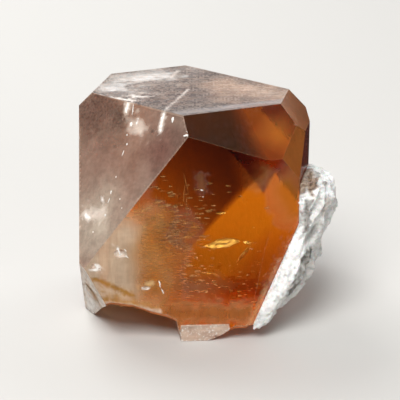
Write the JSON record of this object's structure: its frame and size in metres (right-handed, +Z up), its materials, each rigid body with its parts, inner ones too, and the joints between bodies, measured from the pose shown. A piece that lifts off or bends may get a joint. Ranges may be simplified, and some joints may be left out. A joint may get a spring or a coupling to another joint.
{
  "type": "topaz crystal",
  "caption": "Stubby flat-topped topaz crystal with slanted shoulder faces, broken at the base, with a lump of white albite grown along its right side.",
  "frame": {"origin": "middle of the underside, on the surface that the crystal stands on", "axes": "+Z up along the crystal's long axis, +X towards the albite side, -Y towards the viewer of the largest prism face"},
  "size_m": [0.0332, 0.0274, 0.0297],
  "materials": {
    "topaz": "clear to lightly frosted",
    "albite": "sugary satin"
  },
  "bodies": {
    "root": {"topaz_crystal": "topaz", "albite_matrix": "albite"}
  },
  "joints": []
}
